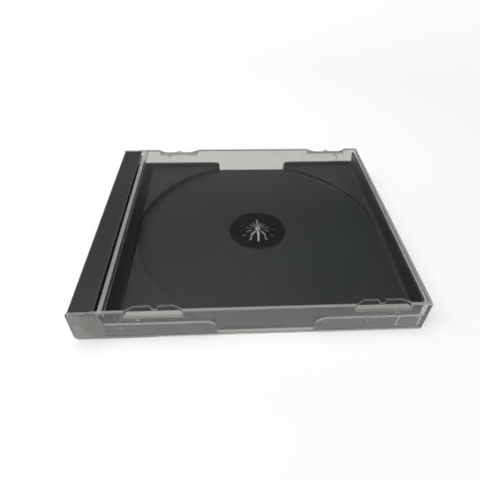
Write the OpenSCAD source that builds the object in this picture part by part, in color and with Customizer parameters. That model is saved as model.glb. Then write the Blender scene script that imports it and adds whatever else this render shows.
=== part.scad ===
// A closed case for one 120 mm game disc: a clear base, a black disc tray and a clear hinged lid.
// Lengths are in millimetres. The case lies flat, +Z is up, and the hinge is on the -X side.

/* [Case] */
// Width, from the hinge side to the opening side
case_w = 142; // [142:1:146]
// Depth, along the hinge
case_d = 125; // [124:1:128]
// Thickness when closed
case_h = 16.5; // [16:0.5:18]
// Wall thickness of the three mouldings
wall = 1.2; // [1.1:0.1:1.3]
// Play between the lid's sides and the base
side_play = 0.3; // [0.25:0.05:0.4]

/* [Hinge] */
// Radius of the lid's two pivot pins
pin_r = 1.5; // [1.3:0.1:1.7]
// Radial play of a pin in its hole
pin_play = 0.08; // [0.06:0.02:0.1]
// Distance of the pivot from the hinge side
pivot_x = 3.2; // [3.1:0.1:3.4]

/* [Disc tray] */
// Radius of the round well for the disc
well_r = 60.5; // [60.3:0.1:60.6]
// Height of the well's floor above the table
well_z = 3; // [2.9:0.1:3.2]
// Height of the flat corners round the well
deck_z = 6.1; // [5.9:0.1:6.4]
// Height of the raised edges at the front and back
rim_z = 8.3; // [8:0.1:8.5]
// Width of the gaps in the edges for finger and thumb
grip_w = 40; // [36:1:44]

/* [Hub] */
// Radius of the hub that the disc is pressed on to
hub_r = 7.4; // [7.3:0.05:7.45]
// Height of the hub above the well's floor
hub_up = 2.5; // [2.4:0.1:2.7]
// Radius of the raised seat that the disc rests on
ring_r = 14.5; // [13.5:0.5:15.5]
// Height of that seat above the well's floor
ring_up = 0.45; // [0.35:0.05:0.55]
// Width of a slot between two fingers, inside the hub
slot_w = 1.15; // [1:0.05:1.2]

/* [Booklet tabs] */
// Length of each pair of tabs
tab_w = 22.4; // [21:0.2:24]
// Depth of the lobed holes in the plate over the tabs
tab_in = 3.3; // [3.1:0.1:3.6]
// How far the tabs themselves reach in from the side
tab_reach = 2.7; // [2.5:0.1:2.9]
// Distance of the hinge-side tabs from the hinge side
tab_left = 21.6; // [21:0.2:24]
// Distance of the opening-side tabs from the opening side
tab_right = 8.1; // [7.1:0.5:11.1]

/* [Hidden] */

$fn = 96;
eps = 0.01;
mid_y = case_d / 2;
side_in = wall + side_play;          // outer face of the base's sides
side_far = side_in + wall;           // inner face of the base's sides
tray_y = side_far + 0.2;             // outer face of the tray's sides
plate_z = case_h - wall;             // underside of the lid's plate
pivot_z = case_h / 2;

strip_l = wall + 0.1;                // the hollow black strip beside the hinge
strip_r = pivot_x + 7.3;
strip_z = case_h - 0.3;
valley_r = strip_r + 5.4;            // far side of the channel beside the strip
wall_x = case_w - 2.2;               // outer face of the tray's tall side
spine_z = case_h - 1.7;              // top of the base's spine wall
wall_in = wall_x - wall;
hub_x = wall_in - 1.1 - well_r;      // centre of the well
plate_x = pivot_x + 8.65;            // hinge-side edge of the lid's plate
stop_x = plate_x + 1.55;             // low rib that keeps a booklet off the hinge

grip_l = hub_x - grip_w / 2;
grip_r = hub_x + grip_w / 2;
side_z = 7.8;                        // top of the base's low sides
ear_z = 13.2;                         // top of the base's two hinge ears
tab_z = plate_z - 1.3;                // top of the booklet tabs
hub_z = well_z + hub_up;
ring_z = well_z + ring_up;
skin = 1;                            // thickness of the hub's fingers and ring

module slab(x0, y0, z0, x1, y1, z1) {
  translate([x0, y0, z0]) cube([x1 - x0, y1 - y0, z1 - z0]);
}

// Stands a flat X-Z outline up as a plate from y0 to y1
module upright(y0, y1) {
  translate([0, y1, 0]) rotate([90, 0, 0]) linear_extrude(y1 - y0) children();
}

// A copy on the front side and one mirrored to the back side
module both_sides() {
  children();
  translate([0, case_d, 0]) mirror([0, 1, 0]) children();
}

// Centres the case over the origin
module in_place() {
  translate([-case_w / 2, -mid_y, 0]) children();
}

// ---- base ----

module low_side(x0, x1, r, round_left) {
  cx = round_left ? x0 + r : x1 - r;
  difference() {
    translate([x0, 0]) square([x1 - x0, side_z]);
    translate([round_left ? x0 - eps : x1 - r, side_z - r]) square([r + eps, r + eps]);
  }
  intersection() {
    translate([cx, side_z - r]) circle(r);
    translate([cx - r, 0]) square([2 * r, side_z]);
  }
}

// The base's rounded lower corner at the hinge side, from the table up
low_corner = [for (a = [0:22.5:90]) [2 - 2 * sin(a), 2 - 2 * cos(a)]];

module ear_outline() {
  polygon(concat(low_corner, [
    [0, ear_z - 0.4],
    [0.4, ear_z],
    [pivot_x + 7.7, ear_z],
    [pivot_x + 8.8, side_z - eps],
    [pivot_x + 9.2, 0]
  ]));
}

module base() {
  color([0.86, 0.88, 0.88, 0.35]) in_place() {
    difference() {
      union() {
        // floor and spine wall, rounded where they meet
        upright(side_in, case_d - side_in) polygon(concat(low_corner, [
          [0, spine_z],
          [wall, spine_z],
          [wall, wall],
          [case_w, wall],
          [case_w, 0]
        ]));
        slab(case_w - wall, side_in, 0, case_w, case_d - side_in, plate_z - 0.1);
        both_sides() upright(side_in, side_far) {
          ear_outline();
          low_side(pivot_x, grip_l - 0.3, 4, false);
          low_side(grip_r - 0.7, case_w - eps, 5, true);
        }
        // catches that hold the tray down
        both_sides() for (x = [pivot_x + 15.5, grip_r + 4.2, grip_r + 21.4])
          catch_pip(x);
      }
      both_sides() upright(0, side_far + 1)
        translate([pivot_x, pivot_z]) circle(pin_r + pin_play);
    }
  }
}

module catch_pip(x) {
  translate([x, side_far - 0.3, 4.6]) rotate([-90, 0, 0])
    cylinder(h = 0.8, r1 = 0.9, r2 = 0.5);
}

// ---- tray ----

module tray_side() {
  // one raised edge, cut away between the two grips and rounded at their ends
  upright(tray_y, tray_y + wall) {
    rim_end(strip_r - eps, grip_l, false);
    rim_end(grip_r, wall_x - eps, true);
  }
}

module rim_end(x0, x1, round_left) {
  r = 1.6;
  difference() {
    translate([x0, wall]) square([x1 - x0, rim_z - wall]);
    translate([round_left ? x0 - eps : x1 - r, rim_z - r]) square([r + eps, r + eps]);
  }
  translate([round_left ? x0 + r : x1 - r, rim_z - r]) circle(r);
}

module tall_side() {
  // the tall side at the opening edge, rounded at both ends of its top
  r = 1.2;
  y0 = tray_y;
  y1 = case_d - tray_y;
  translate([wall_in, 0, 0]) rotate([90, 0, 90]) linear_extrude(wall) {
    difference() {
      translate([y0, wall]) square([y1 - y0, plate_z - 0.3 - wall]);
      translate([y0 - eps, plate_z - 0.3 - r]) square([r + eps, r + eps]);
      translate([y1 - r, plate_z - 0.3 - r]) square([r + eps, r + eps]);
    }
    translate([y0 + r, plate_z - 0.3 - r]) circle(r);
    translate([y1 - r, plate_z - 0.3 - r]) circle(r);
  }
}

module deck_outline(edge) {
  difference() {
    translate([valley_r + edge, tray_y + edge])
      square([wall_x - valley_r - 2 * edge, case_d - 2 * tray_y - 2 * edge]);
    translate([hub_x, mid_y]) circle(well_r + edge);
    translate([grip_l - edge, -1]) square([grip_w + 2 * edge, case_d + 2]);
  }
}

// Cross-section of the finger ring: a collar with a bead at its top and tips bent in to the centre
module finger_section() {
  top = hub_z;
  polygon([
    [ring_r - 3, ring_z - skin],
    [ring_r - 3, ring_z],
    [hub_r, ring_z],
    [hub_r, top - 0.75],
    [hub_r + 0.08, top - 0.5],
    [hub_r - 0.1, top - 0.2],
    [hub_r - 0.7, top],
    [4.6, top - 0.2],
    [1.4, top - 1],
    [1.4, top - 1.8],
    [4.6, top - 1.1],
    [hub_r - skin - 0.3, top - 0.95],
    [hub_r - skin, top - 1.2],
    [hub_r - skin, ring_z - skin]
  ]);
}

module hub() {
  fingers = 12;
  difference() {
    union() {
      // the raised seat and its step down to the well's floor
      rotate_extrude() polygon([
        [ring_r - 3.1, ring_z - skin],
        [ring_r - 0.9, ring_z - skin],
        [ring_r - 0.9, well_z - wall],
        [ring_r + 1, well_z - wall],
        [ring_r + 1, well_z - eps],
        [ring_r, well_z - eps],
        [ring_r - 0.15, ring_z],
        [ring_r - 3.1, ring_z]
      ]);
      rotate_extrude() finger_section();
    }
    for (i = [0:fingers - 1]) rotate([0, 0, i * 360 / fingers]) slot();
  }
}

module slot() {
  // wide between the fingers' arms, narrower between the teeth on the collar, wide again outside
  far = hub_r + 1.3;
  arm = slot_w / 2;
  tooth = hub_r * 0.064;
  translate([0, 0, well_z - wall - 1]) linear_extrude(hub_up + 5) {
    polygon([
      [0.6, -0.25], [4, -arm], [hub_r - 1.2, -arm], [hub_r - 0.6, -tooth], [hub_r + 0.2, -tooth],
      [hub_r + 0.7, -arm], [far, -arm], [far, arm],
      [hub_r + 0.7, arm], [hub_r + 0.2, tooth], [hub_r - 0.6, tooth], [hub_r - 1.2, arm], [4, arm],
      [0.6, 0.25]
    ]);
    translate([far, 0]) circle(arm);
  }
}

module tray() {
  color([0.11, 0.11, 0.115]) in_place() {
    difference() {
      union() {
        // well floor and channel floor
        slab(strip_r - wall + eps, tray_y, well_z - wall, wall_x - eps, case_d - tray_y, well_z);
        // corner decks
        translate([0, 0, wall]) linear_extrude(deck_z - wall) deck_outline(0);
        both_sides() tray_side();
        tall_side();
        // front and back skirts below the floor
        both_sides() slab(strip_r - eps, tray_y, wall, wall_in + eps, tray_y + wall, well_z - eps);
        // strip beside the hinge, on its own leg
        slab(strip_r - wall, tray_y, wall, strip_r, case_d - tray_y, strip_z - eps);
        upright(side_in, case_d - side_in) polygon([
          [0.8, strip_z - wall],
          [strip_r, strip_z - wall],
          [strip_r, strip_z],
          [1.2, strip_z],
          [0.8, strip_z - 0.4]
        ]);
        // walls that close the strip's two ends behind the ears
        both_sides() slab(strip_l, tray_y, wall, strip_r - eps, tray_y + wall, strip_z - eps);
        slab(strip_l, tray_y, ear_z - 0.4, strip_l + 1, case_d - tray_y, strip_z - eps);
      }
      // hollows under the decks, so that they are one wall thick
      translate([0, 0, wall - 1]) linear_extrude(deck_z - 2 * wall + 1) deck_outline(wall);
      // opening for the hub
      translate([hub_x, mid_y, 0]) cylinder(h = 10, r = ring_r + 0.5);
      // holes for the base's catches
      both_sides() for (x = [pivot_x + 15.5, grip_r + 4.2, grip_r + 21.4])
        translate([x, tray_y - 1, 4.6]) rotate([-90, 0, 0]) cylinder(h = wall + 2, r = 1.1);
    }
    translate([hub_x, mid_y, 0]) hub();
    // a pip near the top of the tall side, facing the booklet
    translate([wall_in + eps, mid_y + 2.4, plate_z - 1.6]) rotate([0, -90, 0])
      cylinder(h = 0.6, r1 = 0.9, r2 = 0.6);
  }
}

// ---- lid ----

module flange_outline() {
  r = 3;
  x0 = 0;
  x1 = case_w - 0.4;
  z0 = 0.2;
  polygon([
    [x0 + r, z0],
    [x1 - 1, z0],
    [x1, z0 + 1],
    [x1 + 0.4 - eps, plate_z],
    [case_w, plate_z + 0.2],
    [case_w, case_h],
    [pivot_x + 5.7, case_h],
    [pivot_x + 5.7, case_h - 0.3],
    [x0 + 0.5, case_h - 0.3],
    [x0, case_h - 0.8],
    [x0, z0 + r]
  ]);
  translate([x0 + r, z0 + r]) circle(r);
}

// Outline of the hole over one pair of tabs: two lobes with sloped shoulders and a gap between
module lobes() {
  m = tab_w / 2;
  polygon([
    [0, -1],
    [0, 1],
    [3.6, tab_in],
    [m - 1.6, tab_in],
    [m - 0.4, wall + 0.35],
    [m + 1.5, wall + 0.35],
    [m + 1.7, tab_in],
    [tab_w - 3.7, tab_in],
    [tab_w, 1],
    [tab_w, -1]
  ]);
}

module tabs() {
  slab(0, wall - eps, tab_z - 1, tab_w, tab_reach, tab_z);
  // stiffening boss under the tabs
  translate([5.2, wall - eps, plate_z - 3.9]) rotate([-90, 0, 0])
    cylinder(h = 1, r1 = 0.95, r2 = 0.7);
}

module tab_window() {
  // the hole over the tabs, open through the top of the side, and a notch in its sill
  translate([0, 0, tab_z]) linear_extrude(wall + 3) lobes();
  slab(4.6, -1, tab_z - 0.7, 5.8, wall / 2, tab_z + eps);
}

// One at the hinge end and one mirrored to the opening end
module both_ends() {
  translate([tab_left, 0, 0]) children();
  translate([case_w - tab_right, 0, 0]) mirror([1, 0, 0]) children();
}

module lid() {
  color([0.9, 0.92, 0.92, 0.3]) in_place() {
    difference() {
      union() {
        // the plate, thinned along the hinge so that it clears the strip as it turns
        upright(0, case_d) polygon([
          [plate_x, case_h],
          [plate_x, plate_z + 0.5],
          [plate_x + 0.5, plate_z],
          [case_w, plate_z],
          [case_w, case_h]
        ]);
        both_sides() upright(0, wall) flange_outline();
        // rib that stops a booklet short of the hinge
        slab(stop_x, wall - eps, plate_z - 1.1, stop_x + 1, case_d - wall + eps, plate_z + eps);
        // pivot pins
        both_sides() translate([pivot_x, wall - eps, pivot_z]) rotate([-90, 0, 0])
          cylinder(h = side_play + wall - 0.1, r = pin_r);
      }
      both_sides() both_ends() tab_window();
    }
    both_sides() {
      both_ends() tabs();
      // click rib that holds the lid shut against the base
      slab(case_w - 12, wall - eps, 2.4, case_w - 11.5, wall + 0.15, 10.9);
    }
  }
}

base();
tray();
lid();
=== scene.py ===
from math import radians

import bpy
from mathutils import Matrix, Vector


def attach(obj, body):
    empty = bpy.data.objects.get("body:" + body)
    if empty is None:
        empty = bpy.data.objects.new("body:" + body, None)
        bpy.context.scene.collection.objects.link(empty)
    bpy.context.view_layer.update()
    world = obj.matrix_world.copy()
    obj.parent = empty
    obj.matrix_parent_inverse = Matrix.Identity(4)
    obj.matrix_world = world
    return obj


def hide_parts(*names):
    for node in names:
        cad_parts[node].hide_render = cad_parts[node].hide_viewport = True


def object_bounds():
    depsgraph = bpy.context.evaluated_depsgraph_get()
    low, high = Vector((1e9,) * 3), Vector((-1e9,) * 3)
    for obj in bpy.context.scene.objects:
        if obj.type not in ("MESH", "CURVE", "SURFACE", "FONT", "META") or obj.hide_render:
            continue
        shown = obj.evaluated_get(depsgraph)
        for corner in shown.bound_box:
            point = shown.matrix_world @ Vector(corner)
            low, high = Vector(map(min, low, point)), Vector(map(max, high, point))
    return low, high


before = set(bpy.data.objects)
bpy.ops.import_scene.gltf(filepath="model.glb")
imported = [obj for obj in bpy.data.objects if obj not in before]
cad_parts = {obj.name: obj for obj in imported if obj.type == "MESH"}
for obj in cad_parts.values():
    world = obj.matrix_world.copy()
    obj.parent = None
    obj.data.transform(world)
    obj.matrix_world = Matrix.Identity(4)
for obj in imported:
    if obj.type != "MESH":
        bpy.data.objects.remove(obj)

cad_low, cad_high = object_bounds()

# ---- Camera ----
# Stands at the photograph's viewpoint: in front of the case, a little over 20 cm away,
# looking down on it at about 41 degrees. The small shift is the photograph's framing.
camera_data = bpy.data.cameras.new("camera")
camera_data.sensor_width = 36
camera_data.lens = 30.588
camera_data.shift_x = -0.0265
camera_data.shift_y = -0.001
camera = bpy.data.objects.new("camera", camera_data)
bpy.context.collection.objects.link(camera)
camera.location = (-0.008206, -0.162299, 0.139176)
camera.rotation_euler = (radians(48.893), radians(-1.2365), radians(-3.0894))
bpy.context.scene.camera = camera
bpy.context.scene.view_settings.view_transform = "Standard"

# ---- Base ----
# The clear back half of the case: one injection moulding of polystyrene with a floor,
# a spine wall, low sides and two ears that carry the lid's pins.


class Value:
    """A shader socket that can be used in sums."""

    def __init__(self, finish, socket):
        self.finish = finish
        self.socket = socket

    def _sum(self, operation, a, b):
        return self.finish.node("ShaderNodeMath", {"operation": operation}, {0: a, 1: b})

    def __add__(self, other):
        return self._sum("ADD", self, other)

    __radd__ = __add__

    def __sub__(self, other):
        return self._sum("SUBTRACT", self, other)

    def __rsub__(self, other):
        return self._sum("SUBTRACT", other, self)

    def __mul__(self, other):
        return self._sum("MULTIPLY", self, other)

    __rmul__ = __mul__

    def __truediv__(self, other):
        return self._sum("DIVIDE", self, other)

    def __rtruediv__(self, other):
        return self._sum("DIVIDE", other, self)

    def __gt__(self, other):
        return self._sum("GREATER_THAN", self, other)

    def __lt__(self, other):
        return self._sum("LESS_THAN", self, other)


class Finish:
    """A material under construction."""

    def __init__(self, name):
        self.material = bpy.data.materials.new(name)
        self.material.use_nodes = True
        self.tree = self.material.node_tree
        self.tree.nodes.clear()

    def node(self, kind, settings=None, inputs=None, output=0):
        made = self.tree.nodes.new(kind)
        for key, value in (settings or {}).items():
            if key == "stops":
                ramp = made.color_ramp
                while len(ramp.elements) < len(value):
                    ramp.elements.new(0.5)
                for stop, (place, colour) in zip(ramp.elements, value):
                    stop.position = place
                    stop.color = colour
            else:
                setattr(made, key, value)
        for key, value in (inputs or {}).items():
            if isinstance(value, Value):
                self.tree.links.new(value.socket, made.inputs[key])
            else:
                made.inputs[key].default_value = value
        return Value(self, made.outputs[output]) if made.outputs else made

    def done(self, surface):
        self.node("ShaderNodeOutputMaterial", {}, {"Surface": surface})
        return self.material


def clear_polystyrene(name, haze, frosted):
    """Clear plastic. frosted(x, y, z, upright) says how matt the mould left each place."""
    finish = Finish(name)
    place = finish.node("ShaderNodeTexCoord", output="Object")
    x, y, z = (finish.node("ShaderNodeSeparateXYZ", {}, {0: place}, axis) for axis in range(3))
    # faint flow marks of the moulding and fine handling scratches
    flow = finish.node("ShaderNodeTexNoise", {}, {"Vector": place, "Scale": 60, "Detail": 2})
    fine = finish.node("ShaderNodeTexNoise", {}, {"Vector": place, "Scale": 900, "Detail": 3})
    facing = finish.node("ShaderNodeTexCoord", output="Normal")
    tilt = finish.node("ShaderNodeSeparateXYZ", {}, {0: facing}, 2)
    upright = (tilt * tilt) < 0.25
    matt = frosted(x, y, z, upright)
    rough = haze + 0.03 * flow + 0.4 * matt
    bump = finish.node(
        "ShaderNodeBump",
        {},
        {"Strength": 0.03, "Distance": 0.0002, "Height": 0.95 * flow + 0.05 * fine},
    )
    plastic = finish.node(
        "ShaderNodeBsdfPrincipled",
        {},
        {
            "Base Color": (0.80, 0.795, 0.775, 1),
            "Roughness": rough,
            "IOR": 1.52,
            "Transmission Weight": 1.0,
            "Normal": bump,
        },
    )
    open_way = finish.node(
        "ShaderNodeBsdfTransparent", {}, {"Color": (0.9, 0.9, 0.9, 1)}
    )
    milky = finish.node("ShaderNodeBsdfDiffuse", {}, {"Color": (0.57, 0.56, 0.54, 1)})
    body = finish.node("ShaderNodeMixShader", {}, {0: 0.45 * matt, 1: plastic, 2: milky})
    shadow = finish.node("ShaderNodeLightPath", output="Is Shadow Ray")
    return finish.done(
        finish.node("ShaderNodeMixShader", {}, {0: shadow, 1: body, 2: open_way})
    )


def moulding(name, node, radius, material, softer=()):
    """The node's own shape with the small radius that its mould leaves on every edge.

    softer lists a radius and a test on an edge's two ends for each edge that is rounder.
    """
    bpy.ops.object.select_all(action="DESELECT")
    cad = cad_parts[node]
    piece = cad.copy()
    piece.data = cad.data.copy()
    piece.name = piece.data.name = name
    bpy.context.collection.objects.link(piece)
    bpy.context.view_layer.objects.active = piece
    piece.select_set(True)
    piece.data.materials.clear()
    piece.data.materials.append(material)
    bpy.ops.object.mode_set(mode="EDIT")
    bpy.ops.mesh.select_all(action="SELECT")
    bpy.ops.mesh.remove_doubles(threshold=0.000002)
    bpy.ops.mesh.dissolve_limited(angle_limit=radians(0.8))
    for round_off, chosen in softer:
        bpy.ops.mesh.select_all(action="DESELECT")
        bpy.ops.object.mode_set(mode="OBJECT")
        bpy.context.tool_settings.mesh_select_mode = (False, True, False)
        for edge in piece.data.edges:
            edge.select = all(chosen(piece.data.vertices[end].co) for end in edge.vertices)
        bpy.ops.object.mode_set(mode="EDIT")
        bpy.ops.mesh.bevel(offset=round_off, segments=3, affect="EDGES")
    bpy.ops.object.mode_set(mode="OBJECT")
    edges = piece.modifiers.new("edges", "BEVEL")
    edges.width = radius
    edges.segments = 2
    edges.limit_method = "ANGLE"
    edges.angle_limit = radians(32)
    edges.use_clamp_overlap = False
    edges.harden_normals = True
    bpy.ops.object.modifier_apply(modifier="edges")
    bpy.ops.object.shade_smooth_by_angle(angle=radians(34))
    # keeps the broad faces flat and lets only the rounded edges turn
    broad = piece.modifiers.new("broad", "WEIGHTED_NORMAL")
    broad.weight = 100
    broad.keep_sharp = True
    bpy.ops.object.modifier_apply(modifier="broad")
    # the rounding of a thin corner stays inside the moulding's own box
    for point in piece.data.vertices:
        for axis in range(3):
            point.co[axis] = min(max(point.co[axis], cad_low[axis]), cad_high[axis])
    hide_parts(node)
    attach(piece, "lid" if node == "lid" else "base")
    return piece


pivot_x, pivot_z = -0.0678, 0.00825  # where the lid's pins turn


def round_pivot(x, z, radius):
    """1 within the radius of the pivot's axis."""
    aside = x - pivot_x
    level = z - pivot_z
    return (aside * aside + level * level) < radius**2


def base_matt_faces(x, y, z, upright):
    # the underside, the foot of the low sides, and the ears, more so towards the spine
    ears = (x < -0.0585) * ((y * y) > 0.0597**2) * upright
    spine = (x < -0.0620) * ((-0.0620 - x) * 80)
    bore = round_pivot(x, z, 0.0018)
    foot = (z < 0.0010) * ((y * y) > 0.0603**2)
    return (z < 0.0002) * 0.3 + ears * (0.4 + spine) + bore * 0.4 + foot * 1.1


moulding("base_moulding", "base", 0.00022, clear_polystyrene("clear_base", 0.06, base_matt_faces))

# ---- Tray ----
# The black inner half: one moulding of satin black polystyrene that clicks into the base.
# Its hub of springy fingers holds the disc.


hub_x = 0.006  # the well and the hub stand round this place
well_radius = 0.0605
deck_z = 0.0061
floor_z = 0.003


def black_polystyrene():
    finish = Finish("black_tray")

    def coat(mask, under, over):
        return finish.node(
            "ShaderNodeMix", {"data_type": "RGBA"}, {0: mask, 6: under, 7: over}, 2
        )

    place = finish.node("ShaderNodeTexCoord", output="Object")
    x, y, z = (finish.node("ShaderNodeSeparateXYZ", {}, {0: place}, axis) for axis in range(3))
    cloud = finish.node("ShaderNodeTexNoise", {}, {"Vector": place, "Scale": 25, "Detail": 3})
    grain = finish.node("ShaderNodeTexNoise", {}, {"Vector": place, "Scale": 1800, "Detail": 2})
    tone = finish.node(
        "ShaderNodeValToRGB",
        {"stops": [(0.3, (0.018, 0.018, 0.0175, 1)), (0.7, (0.025, 0.025, 0.024, 1))]},
        {"Fac": cloud},
    )
    cool = finish.node(
        "ShaderNodeValToRGB",
        {"stops": [(0.3, (0.016, 0.020, 0.0215, 1)), (0.7, (0.020, 0.025, 0.027, 1))]},
        {"Fac": cloud},
    )
    # the seat round the hub and the channel are polished, the rest is satin; both are also painted
    # darker: painted shade in the deep channel and a painted dark reflection on the seat
    aside = x - hub_x
    reach = aside * aside + y * y
    seat_polish_and_painted_reflection = (reach < 0.0145**2) * (z > 0.0031)
    well = (reach < well_radius**2) * (z < 0.0045)
    channel_polish_and_painted_shade = (x < -0.0551) * (z < 0.0140)
    dark = coat(well, tone, cool)
    # painted shade in the channel and a painted dark reflection on the seat, coloured near black
    dark = coat(seat_polish_and_painted_reflection + channel_polish_and_painted_shade * 0.9, dark, (0.002, 0.003, 0.005, 1))
    # a painted highlight: the strip's long edge is painted a little lighter
    painted_edge_highlight = (x > -0.0610) * (x < -0.0604) * (z > 0.0157)
    dark = coat(painted_edge_highlight, dark, (0.07, 0.07, 0.07, 1))
    bump = finish.node(
        "ShaderNodeBump", {}, {"Strength": 0.05, "Distance": 0.00004, "Height": grain}
    )
    return finish.done(
        finish.node(
            "ShaderNodeBsdfPrincipled",
            {},
            {
                "Base Color": dark,
                "Roughness": 0.36 + 0.1 * cloud - 0.27 * seat_polish_and_painted_reflection - 0.2 * channel_polish_and_painted_shade,
                "IOR": 1.5,
                "Normal": bump,
            },
        )
    )


def near(value, wanted, slack=0.00002):
    return abs(value - wanted) < slack


def on_well_circle(at):
    return near((at.xy - Vector((hub_x, 0))).length, well_radius, 0.0001)


def well_rim(at):
    return near(at.z, deck_z) and on_well_circle(at)


def well_foot(at):
    return near(at.z, floor_z) and on_well_circle(at)


def strip_edge(at):
    return near(at.x, -0.0605) and near(at.z, 0.0162)


def channel_edge(at):
    return near(at.x, -0.0551) and near(at.z, deck_z)


def wall_foot(at):
    return near(at.x, 0.0676) and near(at.z, deck_z)


moulding(
    "tray_moulding",
    "tray",
    0.00012,
    black_polystyrene(),
    [
        (0.0005, well_rim),
        (0.0006, well_foot),
        (0.0004, strip_edge),
        (0.0018, wall_foot),
        (0.0016, channel_edge),
    ],
)

# ---- Lid ----
# The clear front half: one moulding with a plate, two sides that run on as hinge arms
# and the tabs that hold the booklet. It turns on two pins in the base's ears.


def lid_matt_faces(x, y, z, upright):
    # the tabs, the rims of the holes over them, the lip beside the hinge and the pins
    along = (x > -0.0496) * (x < -0.0268) + (x > 0.0403) * (x < 0.0631) * 0.75
    tabs = (z > 0.0128) * (z < 0.0142) * ((y * y) > 0.0597**2)
    rims = (z > 0.0141) * ((y * y) > 0.0585**2) * upright
    lip = (x < -0.0574) * (x > -0.0594) * (z > 0.0152)
    # flow lines that cloud the plate where the sides grow out of it
    root = (z > 0.0160) * (((y * y) > 0.0613**2) + (x > 0.0698))
    back = (z > 0.0150) * (y > 0.0603)
    pins = round_pivot(x, z, 0.0017)
    return along * (tabs * 0.95 + rims) + lip * 0.65 + root * 0.8 + back * 0.8 + pins * 0.9


def flange_foot(at):
    return at.z < 0.0004 and abs(at.y) > 0.0620


moulding(
    "lid_moulding",
    "lid",
    0.0003,
    clear_polystyrene("clear_lid", 0.02, lid_matt_faces),
    [(0.0006, flange_foot)],
)

# ---- Table and studio ----
# A plain white table that keeps the case's shadow, a white surround and soft lamps.

bpy.ops.object.select_all(action="DESELECT")
bpy.ops.mesh.primitive_plane_add(size=6, location=(0, 0, -0.0002))
table = bpy.context.object
table.name = "table"
white = Finish("table_white")
seen = white.node("ShaderNodeLightPath", output="Is Camera Ray")
through = white.node("ShaderNodeLightPath", output="Is Transmission Ray")
shiny = white.node("ShaderNodeLightPath", output="Is Glossy Ray")
matt = white.node("ShaderNodeBsdfDiffuse", {}, {"Color": (0.8, 0.8, 0.8, 1)})
# the lamps fade with distance, so the table's own glow evens it out
spot = white.node("ShaderNodeTexCoord", output="Object")
away = white.node("ShaderNodeVectorMath", {"operation": "LENGTH"}, {0: spot}, "Value")
even = white.node(
    "ShaderNodeValToRGB",
    {
        "stops": [
            (0.09, (0.32, 0.32, 0.32, 1)),
            (0.2, (0.5, 0.5, 0.5, 1)),
            (0.35, (0.72, 0.72, 0.72, 1)),
            (0.6, (0.86, 0.86, 0.86, 1)),
            (1.0, (0.93, 0.93, 0.93, 1)),
        ]
    },
    {"Fac": away / 3.0},
)
glow = white.node("ShaderNodeEmission", {}, {"Color": even, "Strength": 1.0})
lit = white.node("ShaderNodeAddShader", {}, {0: matt, 1: glow})
table.data.materials.append(
    white.done(white.node("ShaderNodeMixShader", {}, {0: seen + through + shiny, 1: matt, 2: lit}))
)


class Air(Finish):
    def __init__(self):
        self.material = bpy.data.worlds.new("studio")
        self.material.use_nodes = True
        self.tree = self.material.node_tree
        self.tree.nodes.clear()


air = Air()
bpy.context.scene.world = air.material
way = air.node("ShaderNodeTexCoord", output="Generated")
across, along, height = (air.node("ShaderNodeSeparateXYZ", {}, {0: way}, axis) for axis in range(3))
room = air.node(
    "ShaderNodeValToRGB",
    {
        "stops": [
            (0.0, (0.9, 0.9, 0.9, 1)),
            (0.28, (0.5, 0.5, 0.5, 1)),
            (0.42, (0.3, 0.3, 0.3, 1)),
            (0.5, (0.19, 0.19, 0.19, 1)),
            (0.58, (0.05, 0.05, 0.05, 1)),
            (0.9, (0.035, 0.035, 0.035, 1)),
            (1.0, (0.3, 0.3, 0.3, 1)),
        ]
    },
    {"Fac": height},
)
# a pale wall far behind the table, on the left
towards = across * -0.17 + along * 0.68 + height * 0.713
wall = air.node(
    "ShaderNodeMath",
    {"operation": "MULTIPLY", "use_clamp": True},
    {0: towards - 0.84, 1: 7.0},
)
round_about = air.node(
    "ShaderNodeAddShader",
    {},
    {
        0: air.node("ShaderNodeBackground", {}, {"Color": room, "Strength": 1.0}),
        1: air.node("ShaderNodeBackground", {}, {"Color": (1, 1, 1, 1), "Strength": wall * 0.06}),
    },
)
backdrop = air.node("ShaderNodeBackground", {}, {"Color": (1, 1, 1, 1), "Strength": 1.0})
seen = air.node("ShaderNodeLightPath", output="Is Camera Ray")
air.node(
    "ShaderNodeOutputWorld",
    {},
    {"Surface": air.node("ShaderNodeMixShader", {}, {0: seen, 1: round_about, 2: backdrop})},
)


def lamp(name, place, aim, size, power):
    data = bpy.data.lights.new(name, "AREA")
    data.shape = "DISK"
    data.size = size
    data.energy = power
    made = bpy.data.objects.new(name, data)
    bpy.context.collection.objects.link(made)
    made.location = place
    made.rotation_euler = (Vector(aim) - Vector(place)).to_track_quat("-Z", "Y").to_euler()
    return made


lamp("main_lamp", (-0.85, -0.05, 1.05), (0, 0, 0), 0.7, 6.5)
lamp("top_lamp", (-0.12, 0.18, 0.97), (0, 0, 0), 0.7, 4.0)
lamp("side_lamp", (0.75, -0.6, 0.8), (0, 0, 0), 1.0, 1.6)
